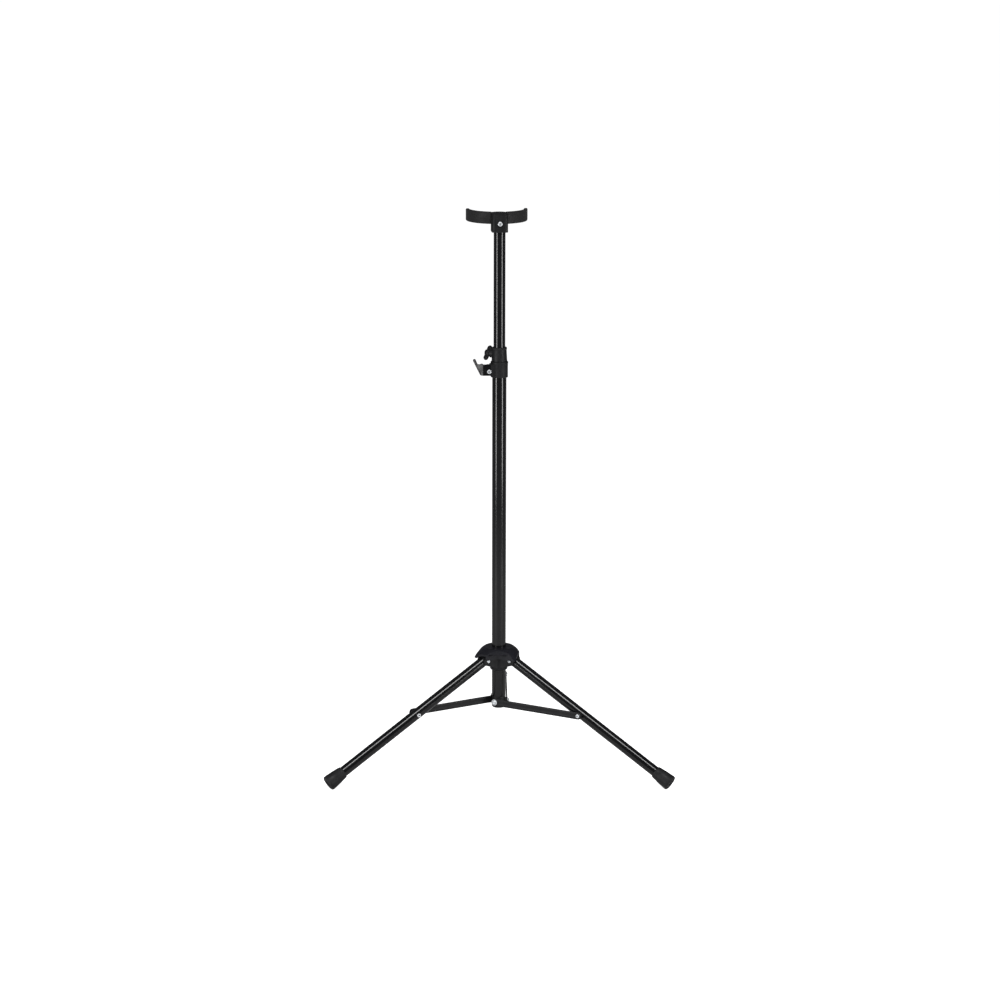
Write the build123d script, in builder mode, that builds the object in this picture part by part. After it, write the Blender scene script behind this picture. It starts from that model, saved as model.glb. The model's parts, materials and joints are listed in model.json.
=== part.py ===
from build123d import *
import os
from math import acos, cos, degrees, hypot, radians, sin, tan

# Folding floor stand for a saxophone: three legs on a sliding hub, a telescopic column, a hook and a yoke.
# Millimetres. +Z is up, the column's axis is the Z axis, the floor is z = 0 and the yoke opens towards +Y.

os.makedirs("parts", exist_ok=True)

# ---------------------------------------------------------------- driving dimensions
RUN = 0.06  # radial clearance of a running fit
GAP = 0.3  # space between pieces that move past each other

# column
LOWER_D = 25.0
LOWER_WALL = 1.5
LOWER_BOTTOM = 120.0
LOWER_TOP = 731.4
UPPER_D = 20.6
UPPER_WALL = 1.2
UPPER_BOTTOM = 562.0
UPPER_TOP = 987.5

# legs, as seen from above: azimuth of each leg from +X
LEGS = {"right": -30.0, "left": 210.0, "rear": 90.0}
LEG_D = 18.6
LEG_WALL = 1.2
LEG_ANGLE = 29.5  # below the horizontal
LEG_PIN_R = 28.5  # column axis to a leg's pivot
FOOT_R = 346.5  # column axis to the middle of a foot's end face
FOOT_END_Z = 10.5
FOOT_MOUTH_D = 21.8
FOOT_END_D = 27.6
FOOT_LENGTH = 34.0
FOOT_EDGE = 2.5
FOOT_LIP = 0.8

# braces between the legs and the bottom plug
BRACE_PIN_R = 169.5
BRACE_W = 12.8
BRACE_T = 2.2
BRACE_INNER_FACE = 13.6  # offset of the strap from the leg's middle plane
PIN_D = 5.0
RIVET_HEAD_D = 7.6
RIVET_HEAD_H = 2.0

# hub
HUB_R = 15.8
HUB_BORE_R = 13.6
HUB_BOTTOM = 169.5
HUB_TOP = 210.0
CHEEK_INNER = 9.6
CHEEK_OUTER = 12.2
CHEEK_R = 8.7
HUB_RIVET_HEAD_D = 6.0
HUB_RIVET_HEAD_H = 1.8

# dome over the hub, a part of a sphere with a hood over each leg
DOME_RADIUS = 50.5
DOME_CENTRE_Z = 169.2
DOME_TOP = 212.5
DOME_WALL = 2.4
DOME_RIM_R = 37.3  # corners of the rim between two legs
DOME_FLAT_R = 30.0  # middle of the flat side between two legs
DOME_RIM_Z = 203.0
HOOD_Z = 193.2
HOOD_WALL = 2.2
HOOD_FRONT = -14.8  # counter-clockwise side of a hood
HOOD_BACK = 17.5  # clockwise side
HOOD_REACH_FRONT = 34.2
HOOD_REACH_BACK = 43.5

# clamp collar on top of the lower tube, with its wing screw
CLAMP_TOP = 756.2
CLAMP_R = 13.3
CLAMP_FOOT_R = 13.8
CLAMP_LIP_H = 4.2
SPIGOT_BOTTOM = 712.0
SCREW_AZIMUTH = 154.0
SCREW_Z = 744.5
WING_SPAN = 15.5
WING_DIP = -43.0  # how far the wings lean from the horizontal at rest
STUD_D = 8.0

# hook collar
HOOK_BOTTOM = 703.3
HOOK_TOP = 731.1
HOOK_R = 15.1
HOOK_FACE_Y = -13.6
HOOK_SCREW_X = -17.8
HOOK_SCREW_Z = 714.5
EAR_END_X = -24.0
PLATE_T = 2.5
PLATE_BOTTOM = 707.1
PLATE_TOP = 727.0
PLATE_BEND_X = -27.5
PLATE_BEND = 25.0
PLATE_BEND_R = 3.0
SCREW_HEAD_D = 8.2

# yoke
YOKE_TURN = 4.0  # swivel of the upper tube at rest
YOKE_TILT = 1.5  # the arms rise a little towards their tips
T_WIDTH = 28.0
T_BOTTOM = 958.4
T_TOP = 991.9
T_FRONT = 14.6
T_BACK = 20.0
T_SCREW_Z = 973.0
BAND_R = 54.5  # outer radius of the sleeves
BAND_T = 6.5
BAND_H = 21.4
BAND_Z = 981.0
BAND_CENTRE_Y = 67.5
BAND_HALF_ANGLE = 95.0
CORE_T = 3.0
CORE_H = 15.0


# ---------------------------------------------------------------- derived places
LOWER_R = LOWER_D / 2
LOWER_BORE_R = LOWER_R - LOWER_WALL
UPPER_R = UPPER_D / 2
LEG_R = LEG_D / 2
LEG_PIN_Z = FOOT_END_Z + (FOOT_R - LEG_PIN_R) * tan(radians(LEG_ANGLE))
LEG_LENGTH = (FOOT_R - LEG_PIN_R) / cos(radians(LEG_ANGLE))  # pivot to the foot's end face
BRACE_Z = LEG_PIN_Z - (BRACE_PIN_R - LEG_PIN_R) * tan(radians(LEG_ANGLE))
BRACE_OUTER_FACE = BRACE_INNER_FACE + BRACE_T
PIN_TO_PIN = hypot(BRACE_PIN_R - LEG_PIN_R, LEG_PIN_Z - BRACE_Z)
BRACE_FOLD = acos(LEG_PIN_R / BRACE_PIN_R)
HUB_TRAVEL = BRACE_Z + BRACE_PIN_R * sin(BRACE_FOLD) + PIN_TO_PIN - LEG_PIN_Z


def radial_plane(azimuth, r=0.0, z=0.0, side=0.0):
    """Upright plane along a leg, its origin at distance r and height z, moved by side, clockwise from above.

    Local x points away from the column, y up, and the normal clockwise.
    """
    a = radians(azimuth)
    outward, clockwise = Vector(cos(a), sin(a), 0), Vector(sin(a), -cos(a), 0)
    return Plane(origin=outward * r + clockwise * side + Vector(0, 0, z), x_dir=outward, z_dir=clockwise)


def facing_plane(azimuth, r=0.0, z=0.0):
    """Upright plane that faces away from the column at this azimuth, at distance r and height z."""
    a = radians(azimuth)
    outward = Vector(cos(a), sin(a), 0)
    return Plane(origin=outward * r + Vector(0, 0, z), x_dir=(-sin(a), cos(a), 0), z_dir=outward)


def leg_plane(azimuth, along):
    """Plane across a leg, this far along it from its pivot, facing down the leg. Its x points clockwise."""
    a, slope = radians(azimuth), radians(LEG_ANGLE)
    pivot = Vector(LEG_PIN_R * cos(a), LEG_PIN_R * sin(a), LEG_PIN_Z)
    down = Vector(cos(slope) * cos(a), cos(slope) * sin(a), -sin(slope))
    return Plane(origin=pivot + down * along, x_dir=(sin(a), -cos(a), 0), z_dir=down)


def disc(plane, radius, height):
    """Adds a round disc that stands on the plane to the part being built."""
    with BuildSketch(plane) as outline:
        Circle(radius)
    extrude(outline.sketch, amount=height)


def ring(plane, radius, hole, height):
    """Adds a round ring that stands on the plane to the part being built."""
    with BuildSketch(plane) as outline:
        Circle(radius)
        Circle(hole, mode=Mode.SUBTRACT)
    extrude(outline.sketch, amount=height)


def bore(plane, radius, depth):
    """Takes a round hole out of the part being built, from the plane along its normal."""
    with BuildSketch(plane) as outline:
        Circle(radius)
    extrude(outline.sketch, amount=depth, mode=Mode.SUBTRACT)


def screw_head(plane, diameter, height, socket):
    """Adds a low round head with a hexagon socket, standing on the plane."""
    with BuildSketch(plane) as outline:
        Circle(diameter / 2)
    extrude(outline.sketch, amount=height, taper=10)
    with BuildSketch(plane.offset(height)) as key:
        RegularPolygon(socket / 2, 6, major_radius=False)
    extrude(key.sketch, amount=-0.6 * height, mode=Mode.SUBTRACT)


def rivet_head(plane, diameter, height):
    """Adds a domed rivet head with a small dimple, standing on the plane."""
    with BuildSketch(plane) as outline:
        Circle(diameter / 2)
    extrude(outline.sketch, amount=height, taper=25)
    with BuildSketch(plane.offset(height)) as dimple:
        Circle(0.13 * diameter)
    extrude(dimple.sketch, amount=-0.4 * height, mode=Mode.SUBTRACT)


# ================================================================ column
with BuildPart() as lower_tube:
    ring(Plane.XY.offset(LOWER_BOTTOM), LOWER_R, LOWER_BORE_R, LOWER_TOP - LOWER_BOTTOM)
lower_tube.part.label = "lower_tube"
export_step(lower_tube.part, "parts/lower_tube.step")

# bottom plug: a spigot in the tube, and a head with a boss and a threaded hole for each brace
PLUG_BOTTOM = BRACE_Z - 11.0
PLUG_SPIGOT = 26.0
BOSS_R = 6.2
HOLE_START = 5.0
with BuildPart() as bottom_plug:
    disc(Plane.XY.offset(PLUG_BOTTOM), LOWER_R, LOWER_BOTTOM - PLUG_BOTTOM)
    chamfer(bottom_plug.edges().group_by(Axis.Z)[0], 1.5)
    disc(Plane.XY.offset(LOWER_BOTTOM), LOWER_BORE_R, PLUG_SPIGOT)
    chamfer(bottom_plug.edges().group_by(Axis.Z)[-1], 1.0)
    for azimuth in LEGS.values():
        disc(radial_plane(azimuth, z=BRACE_Z), BOSS_R, BRACE_INNER_FACE - GAP)
    for azimuth in LEGS.values():
        bore(radial_plane(azimuth, z=BRACE_Z, side=HOLE_START), PIN_D / 2, 10.0)
bottom_plug.part.label = "bottom_plug"
export_step(bottom_plug.part, "parts/bottom_plug.step")

# three shoulder screws that the braces turn on, and the washers under their heads
WASHER_T = 0.8
WASHER_FACE = BRACE_OUTER_FACE + 0.2
with BuildPart() as brace_screws:
    for azimuth in LEGS.values():
        shoulder_length = WASHER_FACE + WASHER_T - HOLE_START
        disc(radial_plane(azimuth, z=BRACE_Z, side=HOLE_START), PIN_D / 2, shoulder_length)
        screw_head(radial_plane(azimuth, z=BRACE_Z, side=WASHER_FACE + WASHER_T), SCREW_HEAD_D, 2.4, 3.6)
brace_screws.part.label = "brace_screws"
export_step(brace_screws.part, "parts/brace_screws.step")

with BuildPart() as brace_washers:
    for azimuth in LEGS.values():
        ring(radial_plane(azimuth, z=BRACE_Z, side=WASHER_FACE), 5.4, PIN_D / 2, WASHER_T)
brace_washers.part.label = "brace_washers"
export_step(brace_washers.part, "parts/brace_washers.step")

# ================================================================ height clamp on top of the lower tube
screw_face = facing_plane(SCREW_AZIMUTH, z=SCREW_Z)
STUD_R = STUD_D / 2
BOSS_END = 17.6
NUT_START = 13.4
NUT_H = 2.8
NUT_AF = 12.0

# moulded collar that stands on the tube, with a lip, a thin spigot in the tube and a boss for the screw
with BuildPart() as clamp_collar:
    with BuildSketch(Plane.XZ):
        with BuildLine():
            Polyline(
                (UPPER_R + RUN, SPIGOT_BOTTOM),
                (LOWER_BORE_R, SPIGOT_BOTTOM),
                (LOWER_BORE_R, LOWER_TOP),
                (CLAMP_FOOT_R, LOWER_TOP),
                (CLAMP_R - 0.5, CLAMP_TOP - CLAMP_LIP_H),
                (CLAMP_R, CLAMP_TOP - CLAMP_LIP_H + 0.4),
                (CLAMP_R, CLAMP_TOP - 1.0),
                (CLAMP_R - 1.0, CLAMP_TOP),
                (UPPER_R + RUN, CLAMP_TOP),
                close=True,
            )
        make_face()
    revolve(axis=Axis.Z)
    disc(screw_face, 8.0, BOSS_END)
    bore(Plane.XY.offset(SPIGOT_BOTTOM), UPPER_R + RUN, CLAMP_TOP - SPIGOT_BOTTOM + 1)
    bore(screw_face, STUD_R, BOSS_END + 1)
    with BuildSketch(screw_face.offset(NUT_START)):
        RegularPolygon(NUT_AF / 2, 6, major_radius=False)
    extrude(amount=NUT_H, mode=Mode.SUBTRACT)
clamp_collar.part.label = "clamp_collar"
export_step(clamp_collar.part, "parts/clamp_collar.step")

with BuildPart() as clamp_nut:
    with BuildSketch(screw_face.offset(NUT_START)):
        RegularPolygon(NUT_AF / 2, 6, major_radius=False)
        Circle(STUD_R, mode=Mode.SUBTRACT)
    extrude(amount=NUT_H)
clamp_nut.part.label = "clamp_nut"
export_step(clamp_nut.part, "parts/clamp_nut.step")

# pad that the screw presses on the upper tube, hollowed to the tube's radius
PAD_END = 12.7
with BuildPart() as pressure_pad:
    disc(screw_face, STUD_R - RUN, PAD_END)
    bore(Plane.XY.offset(SPIGOT_BOTTOM), UPPER_R + 0.02, CLAMP_TOP - SPIGOT_BOTTOM)
pressure_pad.part.label = "pressure_pad"
export_step(pressure_pad.part, "parts/pressure_pad.step")

# wing screw: a stud moulded into a knob with two wings
KNOB_START = BOSS_END + 0.6
STUD_END = 25.0
KNOB_END = 27.4
KNOB_R = 6.4
with BuildPart() as wing_stud:
    disc(screw_face.offset(PAD_END), STUD_R - RUN, STUD_END - PAD_END)
wing_stud.part.label = "wing_stud"
export_step(wing_stud.part, "parts/wing_stud.step")

WING_T = 5.2
LOBE_R = 4.2
LOBE_MIDDLE = 22.4  # column axis to the middle of a wing
WING_ROOT_R = 4.2
WING_ROOT_X = 3.0  # middle of a wing's inner end, from the stud
dip = radians(WING_DIP)
wing_direction = screw_face.x_dir * cos(dip) + screw_face.y_dir * sin(dip)
wing_normal = wing_direction.cross(screw_face.z_dir)
wing_plane = Plane(origin=(0, 0, SCREW_Z), x_dir=wing_direction, z_dir=wing_normal)
with BuildPart() as wing_knob:
    disc(screw_face.offset(KNOB_START), KNOB_R, KNOB_END - KNOB_START)
    fillet(wing_knob.edges().filter_by(GeomType.CIRCLE), 1.2)
    for end in (-1, 1):
        with BuildSketch(wing_plane):
            with Locations((end * (WING_SPAN - LOBE_R), LOBE_MIDDLE)):
                Circle(LOBE_R)
            with Locations((end * WING_ROOT_X, LOBE_MIDDLE)):
                Circle(WING_ROOT_R)
            make_hull()
        extrude(amount=WING_T / 2, both=True)
    bore(screw_face.offset(KNOB_START), STUD_R - RUN, STUD_END - KNOB_START)
wing_knob.part.label = "wing_knob"
export_step(wing_knob.part, "parts/wing_knob.step")

# ================================================================ hook
LINER_R = 13.1
with BuildPart() as hook_liner:
    ring(Plane.XY.offset(HOOK_BOTTOM + 0.6), LINER_R, LOWER_R + RUN, HOOK_TOP - HOOK_BOTTOM - 0.7)
hook_liner.part.label = "hook_liner"
export_step(hook_liner.part, "parts/hook_liner.step")

# collar with a flat front, an ear that is slit and pinched by the screw, and a pocket for the plate in front
FLAT_END_X = -17.6
LIP_H = 3.7
POCKET_X = -14.6
PLATE_BACK_Y = HOOK_FACE_Y + PLATE_T
SLIT_START_X = -11.0
SLIT_Y = (-6.0, -4.0)
CUT_END_X = -30.0  # outside the ear
EAR_BACK_Y = 2.6
EAR_Z = (708.5, 725.5)
CORNER = 4.6  # size of the cut at the lower corner of the flat front
HOOK_NUT_Y = -0.4
HOOK_NUT_H = 4.0
HOOK_NUT_AF = 8.0
with BuildPart() as hook_collar:
    disc(Plane.XY.offset(HOOK_BOTTOM), HOOK_R, HOOK_TOP - HOOK_BOTTOM)
    disc(Plane.XY.offset(HOOK_TOP - LIP_H), HOOK_R + 0.4, LIP_H)
    chamfer(hook_collar.edges().group_by(Axis.Z)[-1], 0.6)
    with BuildSketch(Plane.XZ.offset(-HOOK_FACE_Y)):
        Polygon(
            (0, HOOK_BOTTOM),
            (0, HOOK_TOP - LIP_H),
            (FLAT_END_X, HOOK_TOP - LIP_H),
            (FLAT_END_X, HOOK_BOTTOM + CORNER),
            (FLAT_END_X + 1.3 * CORNER, HOOK_BOTTOM),
            align=None,
        )
    extrude(amount=-(EAR_BACK_Y - HOOK_FACE_Y))
    with BuildSketch(Plane.XZ.offset(-PLATE_BACK_Y)):
        with Locations(((EAR_END_X - 10.0) / 2, (EAR_Z[0] + EAR_Z[1]) / 2)):
            RectangleRounded(-EAR_END_X - 10.0, EAR_Z[1] - EAR_Z[0], 3.0)
    extrude(amount=-(EAR_BACK_Y - PLATE_BACK_Y))
    bore(Plane.XY.offset(HOOK_BOTTOM), LINER_R + RUN, HOOK_TOP - HOOK_BOTTOM)
    with BuildSketch(Plane.XY.offset(HOOK_BOTTOM)):
        with BuildLine():
            pocket = Line((POCKET_X, HOOK_FACE_Y - 2), (POCKET_X, PLATE_BACK_Y))
            Polyline(pocket @ 1, (CUT_END_X, PLATE_BACK_Y), (CUT_END_X, HOOK_FACE_Y - 2), pocket @ 0)
        make_face()
        with BuildLine():
            slit = Line((SLIT_START_X, SLIT_Y[0]), (SLIT_START_X, SLIT_Y[1]))
            Polyline(slit @ 1, (CUT_END_X, SLIT_Y[1]), (CUT_END_X, SLIT_Y[0]), slit @ 0)
        make_face()
    extrude(amount=HOOK_TOP - HOOK_BOTTOM, mode=Mode.SUBTRACT)
    hook_screw_plane = Plane(
        origin=(HOOK_SCREW_X, HOOK_FACE_Y, HOOK_SCREW_Z), x_dir=(1, 0, 0), z_dir=(0, -1, 0)
    )
    bore(hook_screw_plane, PIN_D / 2, -(EAR_BACK_Y - HOOK_FACE_Y) - 1)
    with BuildSketch(hook_screw_plane.offset(HOOK_FACE_Y - HOOK_NUT_Y)):
        RegularPolygon(HOOK_NUT_AF / 2, 6, major_radius=False)
    extrude(amount=-10, mode=Mode.SUBTRACT)
hook_collar.part.label = "hook_collar"
export_step(hook_collar.part, "parts/hook_collar.step")

# plate: a straight run on the collar's face, a bend, and a finger that turns up at its end
FINGER_TOP = 735.6
TIP_X = (-47.1, -42.8)
TIP_ROUND = 2.1
FINGER_REACH_X = TIP_X[0] - 3  # the blank is longer than the finger and is cut to shape
with BuildPart() as hook_plate:
    bend_turn = radians(PLATE_BEND)
    front_end_y = HOOK_FACE_Y + (PLATE_BEND_X - FINGER_REACH_X) * tan(bend_turn)
    with BuildSketch(Plane.XY.offset(PLATE_BOTTOM)):
        with BuildLine():
            Polyline(
                (POCKET_X, HOOK_FACE_Y),
                (PLATE_BEND_X, HOOK_FACE_Y),
                (FINGER_REACH_X, front_end_y),
                (FINGER_REACH_X, front_end_y + PLATE_T / cos(bend_turn)),
                (PLATE_BEND_X + PLATE_T * tan(bend_turn / 2), PLATE_BACK_Y),
                (POCKET_X, PLATE_BACK_Y),
                close=True,
            )
        make_face()
    extrude(amount=FINGER_TOP - PLATE_BOTTOM)
    upright = hook_plate.edges().filter_by(Axis.Z)
    fillet(upright.sort_by(lambda edge: abs(edge.center().X - PLATE_BEND_X))[0:2], PLATE_BEND_R)
    with BuildSketch(Plane.XZ) as side_view:
        with BuildLine():
            ground = Line((POCKET_X, PLATE_BOTTOM), (-29.5, PLATE_BOTTOM))
            belly = Spline(
                ground @ 1,
                (-36.8, 713.1),
                (-44.7, 727.3),
                (TIP_X[0], FINGER_TOP - TIP_ROUND),
                tangents=((-1, 0), (-0.02, 1)),
            )
            tip = ThreePointArc(
                belly @ 1, ((TIP_X[0] + TIP_X[1]) / 2, FINGER_TOP), (TIP_X[1], FINGER_TOP - TIP_ROUND)
            )
            throat = Spline(tip @ 1, (-41.3, 730.6), (-38.4, PLATE_TOP), tangents=((0.05, -1), (0.9, -0.3)))
            Polyline(
                throat @ 1,
                (-33.6, PLATE_TOP),
                (-32.8, PLATE_TOP + 1.2),
                (-29.2, PLATE_TOP + 1.2),
                (-28.4, PLATE_TOP),
                (POCKET_X, PLATE_TOP),
                ground @ 0,
            )
        make_face()
    extrude(amount=30, both=True, mode=Mode.INTERSECT)
    bore(hook_screw_plane, PIN_D / 2, -PLATE_T)
hook_plate.part.label = "hook_plate"
export_step(hook_plate.part, "parts/hook_plate.step")

with BuildPart() as hook_screw:
    screw_head(hook_screw_plane, SCREW_HEAD_D, 2.4, 3.6)
    disc(hook_screw_plane, PIN_D / 2, HOOK_FACE_Y - HOOK_NUT_Y - HOOK_NUT_H)
hook_screw.part.label = "hook_screw"
export_step(hook_screw.part, "parts/hook_screw.step")

with BuildPart() as hook_nut:
    with BuildSketch(hook_screw_plane.offset(HOOK_FACE_Y - HOOK_NUT_Y)):
        RegularPolygon(HOOK_NUT_AF / 2, 6, major_radius=False)
        Circle(PIN_D / 2, mode=Mode.SUBTRACT)
    extrude(amount=-HOOK_NUT_H)
hook_nut.part.label = "hook_nut"
export_step(hook_nut.part, "parts/hook_nut.step")

# ================================================================ mast
BUSH_BOTTOM = UPPER_BOTTOM - 4.0
BUSH_TOP = UPPER_BOTTOM + 30.0
with BuildPart() as guide_bush:
    ring(Plane.XY.offset(BUSH_BOTTOM), LOWER_BORE_R - RUN, 6.0, UPPER_BOTTOM - BUSH_BOTTOM)
    ring(Plane.XY.offset(UPPER_BOTTOM), LOWER_BORE_R - RUN, UPPER_R + RUN, BUSH_TOP - UPPER_BOTTOM)
guide_bush.part.label = "guide_bush"
export_step(guide_bush.part, "parts/guide_bush.step")

yoke_turn = radians(YOKE_TURN)
yoke_right = Vector(cos(yoke_turn), sin(yoke_turn), 0)
yoke_back = Vector(-sin(yoke_turn), cos(yoke_turn), 0)
yoke_plan = Plane(origin=(0, 0, 0), x_dir=yoke_right, z_dir=(0, 0, 1))
yoke_front = Plane(origin=-yoke_back * T_FRONT, x_dir=yoke_right, z_dir=-yoke_back)
t_screw_plane = Plane(
    origin=-yoke_back * T_FRONT + Vector(0, 0, T_SCREW_Z), x_dir=yoke_right, z_dir=-yoke_back
)

with BuildPart() as upper_tube:
    ring(Plane.XY.offset(UPPER_BOTTOM), UPPER_R, UPPER_R - UPPER_WALL, UPPER_TOP - UPPER_BOTTOM)
    bore(t_screw_plane, PIN_D / 2, -T_FRONT)
upper_tube.part.label = "upper_tube"
export_step(upper_tube.part, "parts/upper_tube.step")

# ---------------------------------------------------------------- yoke: two sleeves on a steel core
BAND_INNER_R = BAND_R - BAND_T
CORE_R = BAND_R - (BAND_T - CORE_T) / 2
CORE_HALF_ANGLE = BAND_HALF_ANGLE - 3.0
tilt = radians(YOKE_TILT)
band_normal = Vector(0, 0, cos(tilt)) - yoke_back * sin(tilt)
band_centre = yoke_back * BAND_CENTRE_Y + Vector(0, 0, BAND_Z + (BAND_R - BAND_T / 2) * tan(tilt))
band_plane = Plane(origin=band_centre, x_dir=yoke_right, z_dir=band_normal)


def half_ring(inner, outer, height, half_angle, mode=Mode.ADD):
    """Adds or takes away a part of a flat ring about the band's centre, on both sides of the T-piece."""
    with BuildSketch(band_plane.offset(-height / 2)) as outline:
        with BuildLine():
            start = -90 - half_angle
            outside = CenterArc((0, 0), outer, start, 2 * half_angle)
            inside = CenterArc((0, 0), inner, start, 2 * half_angle)
            Line(outside @ 0, inside @ 0)
            Line(outside @ 1, inside @ 1)
        make_face()
    extrude(outline.sketch, amount=height, mode=mode)


RIVET_STAND = 0.1  # the rivet heads stand this much off the band


def band_rivet_plane(spread, turned=False):
    """Plane on the band's inner face, this many degrees from its middle, turned to face inwards or not."""
    a = radians(spread)
    outward = band_plane.x_dir * sin(a) - band_plane.y_dir * cos(a)
    start = band_plane.origin + outward * (BAND_INNER_R - RIVET_STAND)
    return Plane(origin=start, x_dir=band_plane.z_dir, z_dir=-outward if turned else outward)


T_CORNER = 5.5
T_CROWN = 1.0  # the top is this much higher in the middle
RECESS_R = 5.25
RECESS_DEPTH = 2.0
YOKE_RIVET_SPREAD = (-9.0, 9.0)  # degrees from the middle of the band
YOKE_RIVET_D = 3.5
YOKE_RIVET_L = 7.0
with BuildPart() as t_piece:
    with BuildSketch(yoke_plan.offset(T_BOTTOM)):
        with Locations((0, (T_BACK - T_FRONT) / 2)):
            Rectangle(T_WIDTH, T_BACK + T_FRONT)
    extrude(amount=T_TOP - T_BOTTOM)
    fillet(t_piece.edges().filter_by(Axis.Z).sort_by(Axis((0, 0, 0), yoke_back))[0:2], T_CORNER)
    with BuildSketch(yoke_front):
        with BuildLine():
            shoulder = T_TOP - T_CROWN
            top = ThreePointArc((-T_WIDTH / 2, shoulder), (0, T_TOP), (T_WIDTH / 2, shoulder))
            Polyline(top @ 1, (T_WIDTH / 2, T_BOTTOM), (-T_WIDTH / 2, T_BOTTOM), top @ 0)
        make_face()
    extrude(amount=-2 * (T_FRONT + T_BACK), mode=Mode.INTERSECT)
    bore(Plane.XY.offset(T_BOTTOM), UPPER_R, UPPER_TOP + 0.5 - T_BOTTOM)
    bore(band_plane.offset(-BAND_Z), BAND_INNER_R, 2 * BAND_Z)
    bore(t_screw_plane, RECESS_R, -RECESS_DEPTH)
    bore(t_screw_plane, PIN_D / 2, -T_FRONT)
    with BuildSketch(band_plane.offset(-CORE_H / 2)):
        Circle(CORE_R)
        Circle(CORE_R - CORE_T, mode=Mode.SUBTRACT)
    extrude(amount=CORE_H, mode=Mode.SUBTRACT)
    for spread in YOKE_RIVET_SPREAD:
        bore(band_rivet_plane(spread), YOKE_RIVET_D / 2, YOKE_RIVET_L)
t_piece.part.label = "t_piece"
export_step(t_piece.part, "parts/t_piece.step")

with BuildPart() as t_screw:
    screw_head(t_screw_plane.offset(-RECESS_DEPTH), SCREW_HEAD_D, 1.6, 3.6)
    disc(t_screw_plane.offset(-RECESS_DEPTH), PIN_D / 2, -(T_FRONT - RECESS_DEPTH - UPPER_R + UPPER_WALL))
t_screw.part.label = "t_screw"
export_step(t_screw.part, "parts/t_screw.step")

with BuildPart() as yoke_core:
    half_ring(CORE_R - CORE_T, CORE_R, CORE_H, CORE_HALF_ANGLE)
    for spread in YOKE_RIVET_SPREAD:
        bore(band_rivet_plane(spread), YOKE_RIVET_D / 2, YOKE_RIVET_L)
yoke_core.part.label = "yoke_core"
export_step(yoke_core.part, "parts/yoke_core.step")

with BuildPart() as yoke_rivets:
    for spread in YOKE_RIVET_SPREAD:
        disc(band_rivet_plane(spread), YOKE_RIVET_D / 2, YOKE_RIVET_L)
        rivet_head(band_rivet_plane(spread, turned=True), 6.0, 1.3)
yoke_rivets.part.label = "yoke_rivets"
export_step(yoke_rivets.part, "parts/yoke_rivets.step")

TIP_RADIUS = 5.0
for side, sleeve_name in ((-1, "yoke_sleeve_left"), (1, "yoke_sleeve_right")):
    with BuildPart() as sleeve:
        half_ring(BAND_INNER_R, BAND_R, BAND_H, BAND_HALF_ANGLE)
        tip_edges = sleeve.edges().filter_by(GeomType.LINE).filter_by(lambda edge: edge.length < BAND_T + 0.1)
        fillet(tip_edges, TIP_RADIUS)
        half_ring(CORE_R - CORE_T, CORE_R, CORE_H, CORE_HALF_ANGLE, mode=Mode.SUBTRACT)
        with BuildSketch(band_plane.offset(-BAND_H)):
            with Locations((side * (T_WIDTH / 2 + BAND_R), 0)):
                Rectangle(2 * BAND_R, 4 * BAND_R)
        extrude(amount=2 * BAND_H, mode=Mode.INTERSECT)
    sleeve.part.label = sleeve_name
    export_step(sleeve.part, f"parts/{sleeve_name}.step")

# ================================================================ hub, with the leg pivots
BUSH_START = HUB_BOTTOM + 2.5
SET_SCREW_AZIMUTH = 30.0
SET_SCREW_Z = 184.0
SET_SCREW_END = 19.0
set_screw_plane = facing_plane(SET_SCREW_AZIMUTH, z=SET_SCREW_Z)
CHEEK_Z = (176.0, 199.0)
with BuildPart() as hub_body:
    disc(Plane.XY.offset(HUB_BOTTOM), HUB_R, HUB_TOP - HUB_BOTTOM)
    chamfer(hub_body.edges().group_by(Axis.Z)[0], 2.0)
    disc(set_screw_plane, 4.5, SET_SCREW_END + 1)
    for azimuth in LEGS.values():
        for side in (-CHEEK_OUTER, CHEEK_INNER):
            with BuildSketch(radial_plane(azimuth, side=side)):
                with Locations((LEG_PIN_R, LEG_PIN_Z)):
                    Circle(CHEEK_R)
                with Locations((6.0, (CHEEK_Z[0] + CHEEK_Z[1]) / 2)):
                    Rectangle(12.0, CHEEK_Z[1] - CHEEK_Z[0])
                make_hull()
            extrude(amount=CHEEK_OUTER - CHEEK_INNER)
    bore(Plane.XY.offset(HUB_BOTTOM), HUB_BORE_R, HUB_TOP - HUB_BOTTOM)
    bore(set_screw_plane, PIN_D / 2, SET_SCREW_END + 2)
    for azimuth in LEGS.values():
        rivet_start = radial_plane(azimuth, r=LEG_PIN_R, z=LEG_PIN_Z, side=-CHEEK_OUTER)
        bore(rivet_start, PIN_D / 2, 2 * CHEEK_OUTER)
hub_body.part.label = "hub_body"
export_step(hub_body.part, "parts/hub_body.step")

with BuildPart() as hub_bush:
    ring(Plane.XY.offset(BUSH_START), HUB_BORE_R, LOWER_R + RUN, HUB_TOP - BUSH_START)
    bore(set_screw_plane, PIN_D / 2, HUB_R)
hub_bush.part.label = "hub_bush"
export_step(hub_bush.part, "parts/hub_bush.step")

with BuildPart() as hub_set_screw:
    disc(set_screw_plane.offset(LOWER_R + 2 * RUN), PIN_D / 2, SET_SCREW_END - LOWER_R - 2 * RUN)
    with BuildSketch(set_screw_plane.offset(SET_SCREW_END)):
        RegularPolygon(1.25, 6, major_radius=False)
    extrude(amount=-3.0, mode=Mode.SUBTRACT)
hub_set_screw.part.label = "hub_set_screw"
export_step(hub_set_screw.part, "parts/hub_set_screw.step")

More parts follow.
